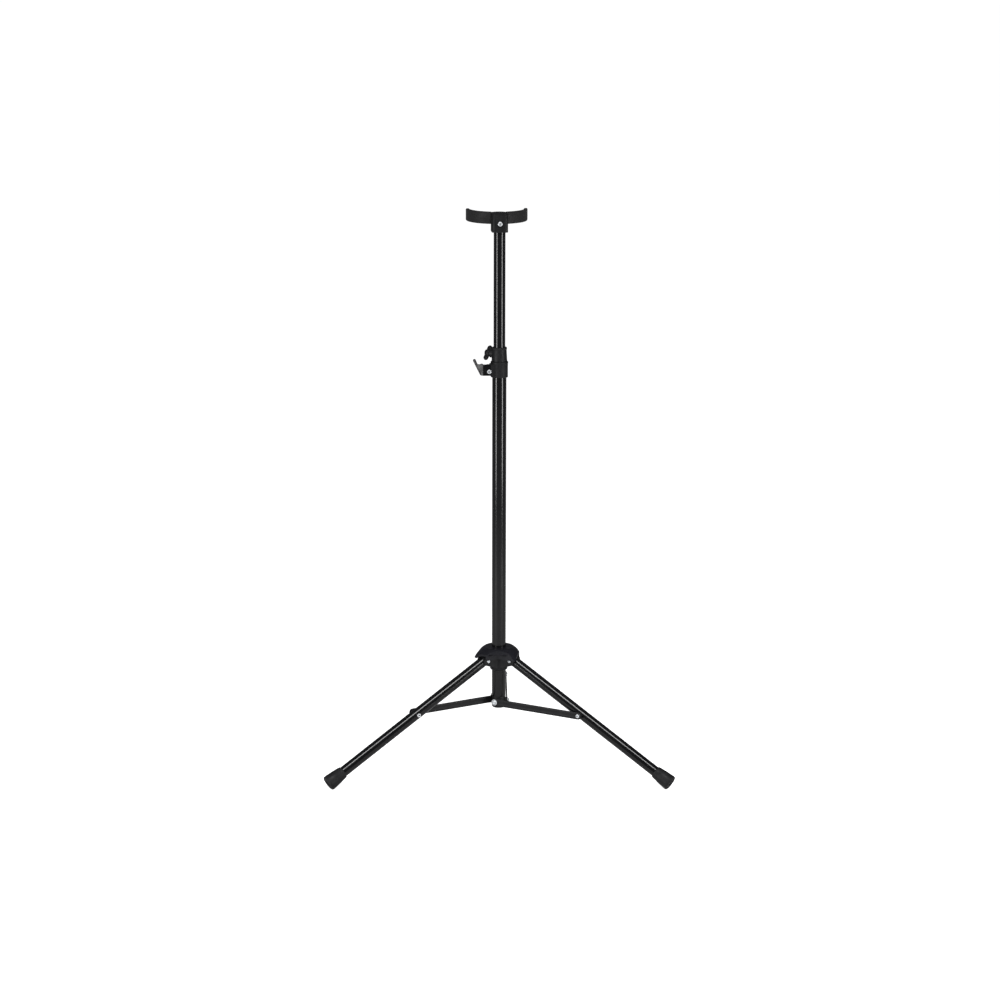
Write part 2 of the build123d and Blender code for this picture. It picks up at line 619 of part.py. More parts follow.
with BuildPart() as hub_rivets:
    for azimuth in LEGS.values():
        disc(radial_plane(azimuth, r=LEG_PIN_R, z=LEG_PIN_Z, side=-CHEEK_OUTER), PIN_D / 2, 2 * CHEEK_OUTER)
        near_side = radial_plane(azimuth, r=LEG_PIN_R, z=LEG_PIN_Z, side=CHEEK_OUTER)
        far_side = radial_plane(azimuth, r=LEG_PIN_R, z=LEG_PIN_Z, side=-CHEEK_OUTER)
        rivet_head(near_side, HUB_RIVET_HEAD_D, HUB_RIVET_HEAD_H)
        rivet_head(Plane(origin=far_side.origin, z_dir=-far_side.z_dir), HUB_RIVET_HEAD_D, HUB_RIVET_HEAD_H)
hub_rivets.part.label = "hub_rivets"
export_step(hub_rivets.part, "parts/hub_rivets.step")


def dome(radius, top, rim, wall):
    """Adds the solid under a dome: a capped sphere over a three-sided rim and three lower hoods."""
    with BuildSketch(Plane.XY.offset(rim)) as rim_plan:
        RegularPolygon(DOME_FLAT_R - wall, 3, major_radius=False, rotation=90)
        Circle(DOME_RIM_R - wall, mode=Mode.INTERSECT)
    extrude(rim_plan.sketch, amount=top - rim)
    for azimuth in LEGS.values():
        turn = radians(azimuth)
        leg_plan = Plane(origin=(0, 0, HOOD_Z - wall), x_dir=(cos(turn), sin(turn), 0), z_dir=(0, 0, 1))
        with BuildSketch(leg_plan) as hood_plan:
            Polygon(
                (0, -HOOD_FRONT - wall),
                (HOOD_REACH_FRONT + wall, -HOOD_FRONT - wall),
                (HOOD_REACH_BACK + wall, -HOOD_BACK + wall),
                (0, -HOOD_BACK + wall),
                align=None,
            )
        extrude(hood_plan.sketch, amount=top - HOOD_Z + wall)
    with BuildSketch(Plane.XZ) as half_section:
        with BuildLine():
            Line((0, 0), (0, DOME_CENTRE_Z + radius))
            CenterArc((0, DOME_CENTRE_Z), radius, 0, 90)
            Polyline((radius, DOME_CENTRE_Z), (radius, 0), (0, 0))
        make_face()
    revolve(half_section.sketch, axis=Axis.Z, mode=Mode.INTERSECT)


with BuildPart() as dome_inside:
    dome(DOME_RADIUS - DOME_WALL, DOME_TOP - DOME_WALL, DOME_RIM_Z - DOME_WALL, HOOD_WALL)

SNAP_RING_R = 17.9
SNAP_RING_Z = 200.0
with BuildPart() as hub_cap:
    dome(DOME_RADIUS, DOME_TOP, DOME_RIM_Z, 0.0)
    add(dome_inside.part, mode=Mode.SUBTRACT)
    ring(Plane.XY.offset(SNAP_RING_Z), SNAP_RING_R, HUB_R + 0.1, DOME_TOP - DOME_WALL - SNAP_RING_Z)
    bore(Plane.XY.offset(HUB_TOP), LOWER_R + GAP, DOME_TOP - HUB_TOP)
hub_cap.part.label = "hub_cap"
export_step(hub_cap.part, "parts/hub_cap.step")

# ================================================================ legs
TUBE_START = 5.0  # the tube's end is coped round the eye
TUBE_IN_FOOT = 29.0
EYE_R = 9.0
SPIGOT_END = 30.0
SPACER_R = 5.5
SPACER_SEAT = 2.0  # depth of the hollow that fits the leg
foot_start = LEG_LENGTH - FOOT_LENGTH
for side, azimuth in LEGS.items():
    with BuildPart() as leg:
        ring(leg_plane(azimuth, TUBE_START), LEG_R, LEG_R - LEG_WALL, foot_start + TUBE_IN_FOOT - TUBE_START)
        bore(radial_plane(azimuth, r=LEG_PIN_R, z=LEG_PIN_Z, side=-LEG_D), EYE_R, 2 * LEG_D)
        bore(radial_plane(azimuth, r=BRACE_PIN_R, z=BRACE_Z, side=-LEG_D), PIN_D / 2, 2 * LEG_D)
    leg.part.label = f"leg_{side}"
    export_step(leg.part, f"parts/leg_{side}.step")

    with BuildPart() as leg_eye:
        disc(radial_plane(azimuth, r=LEG_PIN_R, z=LEG_PIN_Z, side=-EYE_R), EYE_R, 2 * EYE_R)
        disc(leg_plane(azimuth, 0.0), LEG_R - LEG_WALL, SPIGOT_END)
        bore(radial_plane(azimuth, r=LEG_PIN_R, z=LEG_PIN_Z, side=-LEG_D), PIN_D / 2 + RUN, 2 * LEG_D)
    leg_eye.part.label = f"leg_eye_{side}"
    export_step(leg_eye.part, f"parts/leg_eye_{side}.step")

    across = leg_plane(azimuth, foot_start)
    with BuildPart() as foot:
        with BuildSketch(Plane(origin=across.origin, x_dir=across.x_dir, z_dir=-across.y_dir)):
            with BuildLine():
                Polyline(
                    (0, 0),
                    (FOOT_MOUTH_D / 2 - FOOT_LIP, 0),
                    (FOOT_MOUTH_D / 2, FOOT_LIP),
                    (FOOT_END_D / 2, FOOT_LENGTH),
                    (0, FOOT_LENGTH),
                    close=True,
                )
            make_face()
        revolve(axis=Axis(across.origin, across.z_dir))
        fillet(foot.edges().sort_by(Axis(across.origin, across.z_dir))[-1], FOOT_EDGE)
        bore(across, LEG_R, TUBE_IN_FOOT)
        with BuildSketch(Plane.XY) as floor:
            Circle(2 * FOOT_R)
        extrude(floor.sketch, amount=2 * FOOT_R, mode=Mode.INTERSECT)
    foot.part.label = f"foot_{side}"
    export_step(foot.part, f"parts/foot_{side}.step")

    # the brace turns on a rivet through the leg: the shank and one head stay with the leg
    with BuildPart() as brace_spacer:
        ring(
            radial_plane(azimuth, r=BRACE_PIN_R, z=BRACE_Z, side=LEG_R - SPACER_SEAT),
            SPACER_R,
            PIN_D / 2,
            BRACE_INNER_FACE - GAP - LEG_R + SPACER_SEAT,
        )
        bore(leg_plane(azimuth, 0.0), LEG_R + 0.02, LEG_LENGTH)
    brace_spacer.part.label = f"brace_spacer_{side}"
    export_step(brace_spacer.part, f"parts/brace_spacer_{side}.step")

    with BuildPart() as leg_rivet:
        leg_side = radial_plane(azimuth, r=BRACE_PIN_R, z=BRACE_Z, side=-LEG_R)
        disc(leg_side, PIN_D / 2, BRACE_INNER_FACE - GAP + LEG_R)
        rivet_head(Plane(origin=leg_side.origin, z_dir=-leg_side.z_dir), RIVET_HEAD_D, RIVET_HEAD_H)
    leg_rivet.part.label = f"leg_rivet_{side}"
    export_step(leg_rivet.part, f"parts/leg_rivet_{side}.step")

    with BuildPart() as brace:
        with BuildSketch(radial_plane(azimuth, r=BRACE_PIN_R / 2, z=BRACE_Z, side=BRACE_INNER_FACE)):
            SlotCenterToCenter(BRACE_PIN_R, BRACE_W)
            with Locations((-BRACE_PIN_R / 2, 0)):
                Circle(PIN_D / 2 + RUN, mode=Mode.SUBTRACT)
            with Locations((BRACE_PIN_R / 2, 0)):
                Circle(PIN_D / 2, mode=Mode.SUBTRACT)
        extrude(amount=BRACE_T)
    brace.part.label = f"brace_{side}"
    export_step(brace.part, f"parts/brace_{side}.step")

    with BuildPart() as brace_rivet:
        disc(radial_plane(azimuth, r=BRACE_PIN_R, z=BRACE_Z, side=BRACE_INNER_FACE), PIN_D / 2, BRACE_T)
        rivet_head(
            radial_plane(azimuth, r=BRACE_PIN_R, z=BRACE_Z, side=BRACE_OUTER_FACE), RIVET_HEAD_D, RIVET_HEAD_H
        )
    brace_rivet.part.label = f"brace_rivet_{side}"
    export_step(brace_rivet.part, f"parts/brace_rivet_{side}.step")

print(f"hub travel {HUB_TRAVEL:.2f} mm, braces fold {degrees(BRACE_FOLD):.2f} degrees")
print(f"leg pivot z {LEG_PIN_Z:.3f}, brace pivot z {BRACE_Z:.3f}")
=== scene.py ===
import json
from math import asin, ceil, cos, pi, radians, sin, sqrt, tan

import bmesh
import bpy
from mathutils import Matrix, Vector

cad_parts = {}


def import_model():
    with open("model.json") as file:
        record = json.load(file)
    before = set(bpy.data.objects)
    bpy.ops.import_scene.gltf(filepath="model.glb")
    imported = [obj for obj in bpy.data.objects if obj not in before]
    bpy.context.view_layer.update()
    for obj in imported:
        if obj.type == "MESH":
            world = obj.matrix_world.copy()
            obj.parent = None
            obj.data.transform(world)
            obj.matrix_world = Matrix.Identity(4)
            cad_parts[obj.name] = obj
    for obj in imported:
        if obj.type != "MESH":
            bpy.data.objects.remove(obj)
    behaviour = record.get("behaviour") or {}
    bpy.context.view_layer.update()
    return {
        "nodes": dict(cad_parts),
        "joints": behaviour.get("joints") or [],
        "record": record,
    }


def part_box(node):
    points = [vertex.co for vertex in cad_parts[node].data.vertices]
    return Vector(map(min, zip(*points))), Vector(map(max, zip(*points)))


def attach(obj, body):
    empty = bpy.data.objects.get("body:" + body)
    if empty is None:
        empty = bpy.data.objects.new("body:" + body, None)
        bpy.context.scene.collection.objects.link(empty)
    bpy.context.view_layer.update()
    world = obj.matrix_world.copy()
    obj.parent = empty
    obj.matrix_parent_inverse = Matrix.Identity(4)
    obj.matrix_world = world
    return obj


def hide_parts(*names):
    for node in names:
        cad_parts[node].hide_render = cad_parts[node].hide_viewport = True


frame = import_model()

# A folding saxophone stand. Pieces are drawn in millimetres in a frame of their own, and then placed in the
# frame that the CAD model and the simulation share.
MM = 0.001
X, Y, Z = Vector((1, 0, 0)), Vector((0, 1, 0)), Vector((0, 0, 1))
joints = {joint["name"]: joint for joint in frame["joints"]}
nodes = frame["nodes"]
SIDES = ("right", "left", "rear")
SMALL = 1e-6


# ---------------------------------------------------------------- materials
class Paint:
    """Node tree of one material, with short calls for the nodes that the finishes below share."""

    def __init__(self, name, color, roughness, metallic=0.0):
        self.material = bpy.data.materials.new(name)
        self.material.use_nodes = True
        self.tree = self.material.node_tree
        self.shader = self.tree.nodes["Principled BSDF"]
        self.shader.inputs["Base Color"].default_value = (*color, 1)
        self.shader.inputs["Roughness"].default_value = roughness
        self.shader.inputs["Metallic"].default_value = metallic
        self.place = self.tree.nodes.new("ShaderNodeTexCoord").outputs["Object"]

    def link(self, output, node, name):
        self.tree.links.new(output, node.inputs[name])

    def stretched(self, scale):
        """The surface's place, scaled by a different amount along each axis."""
        node = self.tree.nodes.new("ShaderNodeMapping")
        node.inputs["Scale"].default_value = scale
        self.link(self.place, node, "Vector")
        return node.outputs["Vector"]

    def noise(self, scale, detail=3.0, place=None, roughness=0.5):
        node = self.tree.nodes.new("ShaderNodeTexNoise")
        node.inputs["Scale"].default_value = scale
        node.inputs["Detail"].default_value = detail
        node.inputs["Roughness"].default_value = roughness
        self.link(place or self.place, node, "Vector")
        return node.outputs["Fac"]

    def cells(self, scale, feature="F1"):
        node = self.tree.nodes.new("ShaderNodeTexVoronoi")
        node.feature = feature
        node.inputs["Scale"].default_value = scale
        self.link(self.place, node, "Vector")
        return node.outputs["Distance"]

    def ramp(self, value, low, high, start=0.35, end=0.65):
        """Colours or greys between low and high, as value goes from start to end."""
        node = self.tree.nodes.new("ShaderNodeValToRGB")
        stops = node.color_ramp.elements
        for stop, position, level in ((stops[0], start, low), (stops[1], end, high)):
            stop.position = position
            stop.color = (*level, 1) if isinstance(level, tuple) else (level, level, level, 1)
        self.link(value, node, "Fac")
        return node.outputs["Color"]

    def bump(self, value, distance, strength=1.0):
        """Small relief. Calls add up, the first being the coarsest."""
        node = self.tree.nodes.new("ShaderNodeBump")
        node.inputs["Distance"].default_value = distance
        node.inputs["Strength"].default_value = strength
        self.link(value, node, "Height")
        normal = self.shader.inputs["Normal"]
        if normal.is_linked:
            self.link(normal.links[0].from_socket, node, "Normal")
        self.tree.links.new(node.outputs["Normal"], normal)

    def color(self, output):
        self.link(output, self.shader, "Base Color")

    def rough(self, output):
        self.link(output, self.shader, "Roughness")


def tube_paint():
    """Gloss black paint on tube: a little orange peel, and faint rubbing marks along the tube."""
    paint = Paint("gloss_black_paint", (0.008, 0.008, 0.009), 0.18)
    paint.shader.inputs["Specular IOR Level"].default_value = 0.25
    paint.shader.inputs["Coat Weight"].default_value = 0.15
    paint.shader.inputs["Coat Roughness"].default_value = 0.10
    patches = paint.noise(14.0, 2.0)
    marks = paint.noise(9.0, 4.0, paint.stretched((60.0, 60.0, 1.5)))
    paint.color(paint.ramp(patches, (0.0034, 0.0034, 0.0040), (0.0056, 0.0055, 0.0060)))
    paint.rough(paint.ramp(marks, 0.150, 0.180, 0.3, 0.8))
    paint.bump(paint.noise(180.0, 1.0), 0.000006, 0.4)
    return paint.material


def plate_paint_shaded():
    """Gloss black tube paint, as a darker and less reflective copy that takes the place of tube_paint on the
    hook plate: painted shade, standing in for the dark surround that the plate reflects.
    """
    paint = Paint("gloss_black_paint_shaded_copy", (0.004, 0.004, 0.005), 0.22)
    paint.shader.inputs["Specular IOR Level"].default_value = 0.14
    paint.color(paint.ramp(paint.noise(40.0, 3.0), (0.0030, 0.0030, 0.0036), (0.0055, 0.0055, 0.0060)))
    paint.rough(paint.ramp(paint.noise(120.0, 3.0), 0.18, 0.30))
    paint.bump(paint.noise(300.0, 2.0), 0.00001, 0.4)
    return paint.material


def strap_paint():
    """Satin black powder coat on flat steel."""
    paint = Paint("satin_black_powder_coat", (0.012, 0.012, 0.013), 0.42)
    paint.shader.inputs["Specular IOR Level"].default_value = 0.24
    paint.color(paint.ramp(paint.noise(22.0, 3.0), (0.006, 0.006, 0.007), (0.011, 0.011, 0.012)))
    paint.rough(paint.ramp(paint.noise(60.0, 3.0), 0.36, 0.52))
    paint.bump(paint.noise(900.0, 2.0), 0.00004, 0.7)
    return paint.material


def moulded_plastic(name, low, high, grain, depth, rough):
    """Black plastic with the fine grain of a spark-eroded mould, and a faint bloom in patches."""
    paint = Paint(name, high, rough)
    paint.shader.inputs["Specular IOR Level"].default_value = 0.2
    paint.color(paint.ramp(paint.noise(35.0, 4.0), low, high, 0.3, 0.7))
    paint.rough(paint.ramp(paint.noise(90.0, 3.0), rough - 0.07, rough + 0.08))
    paint.bump(paint.noise(grain, 3.0, roughness=0.6), depth, 0.9)
    return paint.material


def sleeve_rubber():
    """Soft dark grey rubber with a pebbled, leather-like skin. Its colour is lighter on the pebbles and
    darker in the gaps between them, as painted shade.
    """
    paint = Paint("pebbled_rubber", (0.016, 0.016, 0.017), 0.62)
    paint.shader.inputs["Specular IOR Level"].default_value = 0.24
    paint.shader.inputs["Sheen Weight"].default_value = 0.05
    paint.shader.inputs["Sheen Roughness"].default_value = 0.5
    pebble_relief_and_gap_shade = paint.cells(620.0, "SMOOTH_F1")
    # Colour lighter on the pebble tops and darker in the gaps between pebbles: painted shade.
    paint.color(paint.ramp(pebble_relief_and_gap_shade, (0.013, 0.0125, 0.013), (0.005, 0.005, 0.0055), 0.1, 0.75))
    paint.rough(paint.ramp(paint.noise(70.0, 3.0), 0.55, 0.72))
    paint.bump(paint.noise(55.0, 2.0), 0.00012, 0.4)
    paint.bump(pebble_relief_and_gap_shade, 0.00018, -0.8)
    return paint.material


def foot_rubber():
    """Hard black rubber, a little dusty in patches."""
    paint = Paint("foot_rubber", (0.010, 0.010, 0.011), 0.55)
    paint.shader.inputs["Specular IOR Level"].default_value = 0.24
    paint.color(paint.ramp(paint.noise(48.0, 5.0), (0.007, 0.007, 0.008), (0.018, 0.018, 0.019), 0.4, 0.75))
    paint.rough(paint.ramp(paint.noise(80.0, 3.0), 0.46, 0.66))
    paint.bump(paint.noise(700.0, 3.0), 0.00006, 0.8)
    return paint.material


def bright_zinc():
    """Bright zinc plate: metal, with fine turning marks and a few duller patches."""
    paint = Paint("bright_zinc", (0.66, 0.67, 0.69), 0.45, 1.0)
    paint.color(paint.ramp(paint.noise(300.0, 3.0), (0.56, 0.58, 0.60), (0.74, 0.76, 0.78)))
    paint.rough(paint.ramp(paint.noise(420.0, 3.0), 0.40, 0.52))
    paint.bump(paint.noise(1600.0, 2.0), 0.00002, 0.5)
    return paint.material


def natural_nylon():
    """Off-white nylon, faintly translucent."""
    paint = Paint("natural_nylon", (0.62, 0.60, 0.55), 0.4)
    paint.shader.inputs["Subsurface Weight"].default_value = 0.15
    paint.shader.inputs["Subsurface Scale"].default_value = 0.002
    paint.color(paint.ramp(paint.noise(40.0, 3.0), (0.56, 0.54, 0.49), (0.68, 0.66, 0.61)))
    paint.rough(paint.ramp(paint.noise(150.0, 2.0), 0.34, 0.48))
    paint.bump(paint.noise(800.0, 2.0), 0.00003, 0.5)
    return paint.material


finishes = {
    "painted_tube": tube_paint(),
    "painted_strap": strap_paint(),
    "moulded_plastic": moulded_plastic(
        "grained_black_plastic", (0.0055, 0.0055, 0.0062), (0.0105, 0.0105, 0.0115), 1100.0, 0.00010, 0.50
    ),
    "dome_plastic": moulded_plastic(
        "satin_black_plastic", (0.008, 0.008, 0.011), (0.013, 0.013, 0.017), 1500.0, 0.00004, 0.34
    ),
    "foot_rubber": foot_rubber(),
    "sleeve_rubber": sleeve_rubber(),
    "bright_steel": bright_zinc(),
    "nylon": natural_nylon(),
}
slot_of = {entry["node"]: entry["material_slot"] for entry in frame["record"]["subparts"]}
bodies = frame["record"]["behaviour"]["bodies"]
body_of_node = {node: body for body, members in bodies.items() for node in members}


# ---------------------------------------------------------------- making pieces
def placed(origin, z_axis, x_axis):
    """Matrix from a piece's own millimetres to the row frame. origin is in millimetres."""
    z = Vector(z_axis).normalized()
    x = Vector(x_axis)
    x = (x - z * x.dot(z)).normalized()
    turn = Matrix((x, z.cross(x), z)).transposed().to_4x4()
    return Matrix.Translation(Vector(origin) * MM) @ turn @ Matrix.Scale(MM, 4)


def rounded(corners, steps=5):
    """Closed outline with rounded corners, each corner being (x, y, radius)."""
    outline = []
    for i, (x, y, radius) in enumerate(corners):
        here = Vector((x, y))
        before, after = Vector(corners[i - 1][:2]), Vector(corners[(i + 1) % len(corners)][:2])
        back, ahead = (before - here).normalized(), (after - here).normalized()
        half = back.angle(ahead) / 2 if radius else 0
        if radius == 0 or half > radians(89.5):
            outline.append(here)
            continue
        reach = radius / tan(half)
        middle = here + (back + ahead).normalized() * radius / sin(half)
        first, last = here + back * reach - middle, here + ahead * reach - middle
        turn = first.angle_signed(last)
        for step in range(steps + 1):
            angle = -turn * step / steps
            outline.append(middle + Matrix.Rotation(angle, 2) @ first)
    return [(point.x, point.y) for point in outline]


def braced(outline, reach=0.8):
    """The outline with a point close to each end of its long runs, which keeps their shading straight."""
    points = []
    closed = outline[0][0] > SMALL or outline[-1][0] > SMALL
    for i, point in enumerate(outline):
        points.append(point)
        if i == len(outline) - 1 and not closed:
            continue
        here, after = Vector(point), Vector(outline[(i + 1) % len(outline)])
        length = (after - here).length
        if length > 5 * reach:
            step = (after - here) / length * reach
            points += [tuple(here + step), tuple(after - step)]
    return points


def lathe(outline, segments=72, shape=None):
    """Mesh turned about z from (radius, height) points. A line that starts and ends on the axis closes there,
    any other outline is closed on itself. shape(radius, height, angle) can change a point's radius."""
    mesh = bmesh.new()
    rows = []
    for radius, height in braced(outline):
        if radius < SMALL:
            rows.append([mesh.verts.new((0, 0, height))])
            continue
        row = []
        for step in range(segments):
            angle = 2 * pi * step / segments
            r = shape(radius, height, angle) if shape else radius
            row.append(mesh.verts.new((r * cos(angle), r * sin(angle), height)))
        rows.append(row)
    closed = len(rows[0]) > 1 or len(rows[-1]) > 1
    pairs = list(zip(rows, rows[1:])) + ([(rows[-1], rows[0])] if closed else [])
    for low, high in pairs:
        if len(low) == 1 and len(high) == 1:
            continue
        for step in range(segments):
            after = (step + 1) % segments
            bottom = (low[step % len(low)], low[after % len(low)])
            top = (high[after % len(high)], high[step % len(high)])
            mesh.faces.new(list(dict.fromkeys(bottom + top)))
    return mesh


def hexagon(radius, angle, turn=0.0):
    """Radius at this angle of a hexagon with this half width across its flats."""
    return radius / cos((angle + turn) % (pi / 3) - pi / 6)


def evaluated(thing):
    """Mesh of an object or curve as its modifiers leave it."""
    return bpy.data.meshes.new_from_object(thing.evaluated_get(bpy.context.evaluated_depsgraph_get()))


def linked(name, data):
    """Object that holds this data, in the scene."""
    thing = bpy.data.objects.new(name, data)
    bpy.context.scene.collection.objects.link(thing)
    return thing


def mesh_data(name, mesh):
    """Mesh data from a bmesh, which it frees."""
    data = bpy.data.meshes.new(name)
    mesh.to_mesh(data)
    mesh.free()
    return data


def plate(outlines, thickness, edge=0.4):
    """Mesh of a flat plate from z = 0 up, with softened edges.
    The first outline is its edge, the rest are holes."""
    curve = bpy.data.curves.new("plate", "CURVE")
    curve.dimensions = "2D"
    curve.fill_mode = "BOTH"
    curve.extrude = thickness / 2 - edge
    curve.bevel_depth = edge
    curve.bevel_resolution = 2
    curve.offset = -edge
    for outline in outlines:
        spline = curve.splines.new("POLY")
        spline.points.add(len(outline) - 1)
        spline.use_cyclic_u = True
        for point, (x, y) in zip(spline.points, outline):
            point.co = (x, y, 0, 1)
    carrier = linked("plate", curve)
    data = evaluated(carrier)
    mesh = bmesh.new()
    mesh.from_mesh(data)
    bpy.data.objects.remove(carrier)
    bpy.data.curves.remove(curve)
    bpy.data.meshes.remove(data)
    bmesh.ops.remove_doubles(mesh, verts=mesh.verts, dist=0.001)
    bmesh.ops.translate(mesh, verts=mesh.verts, vec=(0, 0, thickness / 2))
    return mesh


def circle(radius, x=0.0, y=0.0, steps=48):
    angles = [2 * pi * i / steps for i in range(steps)]
    return [(x + radius * cos(angle), y + radius * sin(angle)) for angle in angles]


def joined(*parts):
    """One mesh that holds all these, each a mesh or (mesh, matrix) in the first one's frame."""
    whole = bmesh.new()
    for part in parts:
        mesh, matrix = part if isinstance(part, tuple) else (part, Matrix.Identity(4))
        data = mesh_data("part", mesh)
        data.transform(matrix)
        whole.from_mesh(data)
        bpy.data.meshes.remove(data)
    return whole


def piece(name, mesh, matrix, node, smooth=40.0):
    """Object from a mesh, with the place, body and finish of the CAD node that it stands for; the finish is
    picked by the node's slot.
    """
    bmesh.ops.recalc_face_normals(mesh, faces=mesh.faces)
    data = mesh_data(name, mesh)
    data.transform(matrix)
    data.shade_smooth()
    data.set_sharp_from_angle(angle=radians(smooth))
    thing = linked(name, data)
    slot = slot_of[node]
    data.materials.append(finishes[slot])
    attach(thing, body_of_node[node])
    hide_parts(node)
    return thing


def union(*parts):
    """One closed mesh from several that overlap."""
    carriers = []
    for mesh in parts:
        bmesh.ops.recalc_face_normals(mesh, faces=mesh.faces)
        carriers.append(linked("union", mesh_data("union", mesh)))
    for other in carriers[1:]:
        step = carriers[0].modifiers.new("add", "BOOLEAN")
        step.operation = "UNION"
        step.solver = "EXACT"
        step.object = other
    data = evaluated(carriers[0])
    whole = bmesh.new()
    whole.from_mesh(data)
    bpy.data.meshes.remove(data)
    for carrier in carriers:
        old = carrier.data
        bpy.data.objects.remove(carrier)
        bpy.data.meshes.remove(old)
    return whole


def span(node):
    """Lowest and highest corner of a CAD node, in millimetres."""
    low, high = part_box(node)
    return Vector(low) / MM, Vector(high) / MM


def dressed(node, width):
    """Gives a CAD node its finish, and softens its edges with modifiers."""
    thing = nodes[node]
    thing.data.materials.clear()
    thing.data.materials.append(finishes[slot_of[node]])
    if width:
        # The CAD mesh keeps its vertices apart at each face, and they are joined before the bevel.
        weld = thing.modifiers.new("weld", "WELD")
        weld.merge_threshold = 0.000005
        flat = thing.modifiers.new("flat", "DECIMATE")
        flat.decimate_type = "DISSOLVE"
        flat.angle_limit = radians(0.5)
        bevel = thing.modifiers.new("soft_edges", "BEVEL")
        bevel.limit_method = "ANGLE"
        bevel.angle_limit = radians(32.0)
        bevel.width = width * MM
        bevel.segments = 2
        bevel.harden_normals = False


upright = placed((0, 0, 0), Z, X)
in_place = Matrix.Identity(4)
TUBE_LIP = 0.35


def tube(name, radius, wall, start, end, matrix, node):
    """Drawn tube with its cut ends broken."""
    corners = [
        (radius - wall, start, TUBE_LIP),
        (radius, start, TUBE_LIP),
        (radius, end, TUBE_LIP),
        (radius - wall, end, TUBE_LIP),
    ]
    piece(name, lathe(rounded(corners, 3), 96), matrix, node)


def button_screw(radius, head, length, shank=2.5, socket=1.8):
    """Button-head screw with a hexagon socket. Its head stands on z = 0, its shank points down."""
    outline = [(0, -length), (shank - 0.3, -length), (shank, 0.3 - length), (shank, 0), (radius - 0.2, 0)]
    outline += [(radius, 0.35), (0.93 * radius, 0.5 * head)]
    outline += [(0.76 * radius, 0.85 * head), (0.56 * radius, head)]
    outline += [(socket, 0.97 * head), (socket - 0.05, 0.35 * head), (0, 0.28 * head)]

    def shape(r, height, angle):
        return hexagon(r, angle) if r <= socket and height > 0 else r

    return lathe(outline, 72, shape)


def tubular_head(radius, height, bore, length, shank=2.5):
    """Rolled head of a tubular rivet, standing on z = 0, on a shank that points down."""
    outline = [(0, -length), (shank, -length), (shank, 0), (radius - 0.15, 0), (radius, 0.3)]
    outline += [(0.92 * radius, 0.62 * height), (0.74 * radius, 0.95 * height), (0.6 * radius, height)]
    outline += [(bore + 0.35, 0.9 * height), (bore, 0.6 * height), (bore - 0.1, -0.5), (0, -0.7)]
    return lathe(outline, 60)


# ---------------------------------------------------------------- column
LOWER_R, LOWER_WALL = 12.5, 1.5
UPPER_R, UPPER_WALL = 10.3, 1.2
RUN = 0.06


def column():
    low, high = span("lower_tube")
    tube("lower_tube_painted", LOWER_R, LOWER_WALL, low.z, high.z, upright, "lower_tube")
    low, high = span("upper_tube")
    tube("upper_tube_painted", UPPER_R, UPPER_WALL, low.z, high.z, upright, "upper_tube")
    dressed("bottom_plug", 0.5)
    dressed("clamp_nut", 0)
    dressed("guide_bush", 0)


def clamp():
    """Collar with a knurled lip and a boss, and the wing screw with its threaded stud."""
    low, high = span("clamp_collar")
    start = span("lower_tube")[1].z
    lip_h, lip_r, foot_r, neck_r, bore = 4.2, 13.3, 13.8, 12.75, UPPER_R + RUN
    spigot_r = LOWER_R - LOWER_WALL
    corners = [
        (bore, low.z, 0),
        (spigot_r, low.z, 0.4),
        (spigot_r, start, 0),
        (foot_r, start, 0.5),
        (foot_r - 0.15, start + 3.0, 2.0),
        (neck_r, high.z - lip_h, 0.4),
        (lip_r, high.z - lip_h + 0.5, 0.3),
        (lip_r, high.z, 1.1),
        (bore + 0.8, high.z, 0.3),
        (bore, high.z - 0.8, 0),
    ]
    ribs, rib_depth = 40, 0.32

    def knurl(r, height, angle):
        on_lip = r > neck_r + 0.25 and height > high.z - lip_h
        return r - rib_depth * (0.5 + 0.5 * cos(ribs * angle)) if on_lip else r

    body = lathe(rounded(corners, 3), 240, knurl)
    pad = joints["wing_turn"]
    outward = Vector(pad["axis"])
    screw = placed((0, 0, pad["pos_m"][2] / MM), outward, Z.cross(outward))
    boss_r, hole, boss_end, boss_start = 8.0, 4.0, 17.6, 10.5
    corners = [(hole, boss_start, 0), (boss_r, boss_start, 0), (boss_r, boss_end, 1.0), (hole, boss_end, 0.4)]
    boss = lathe(rounded(corners, 3), 72)
    boss.transform(screw)
    body.transform(upright)
    piece("clamp_collar_moulded", union(body, boss), in_place, "clamp_collar", smooth=30)

    stud_start, stud_end, pitch, depth, run_out = 12.7, 25.0, 1.25, 0.45, 1.5
    length = stud_end - stud_start
    rows = ceil(length / pitch * 8)
    side_wall = [(hole - RUN, stud_start + length * row / rows) for row in range(rows + 1)]
    outline = [(0, stud_start), *side_wall, (0, stud_end)]

    def thread(r, height, angle):
        phase = (height / pitch - angle / (2 * pi)) % 1.0
        full = min(1.0, (height - stud_start) / run_out, (stud_end - height) / run_out)
        return r - depth * abs(2 * phase - 1) * max(0.0, full)

    piece("wing_stud_threaded", lathe(outline, 48, thread), screw, "wing_stud")
    wing_knob(screw)
    dressed("pressure_pad", 0)


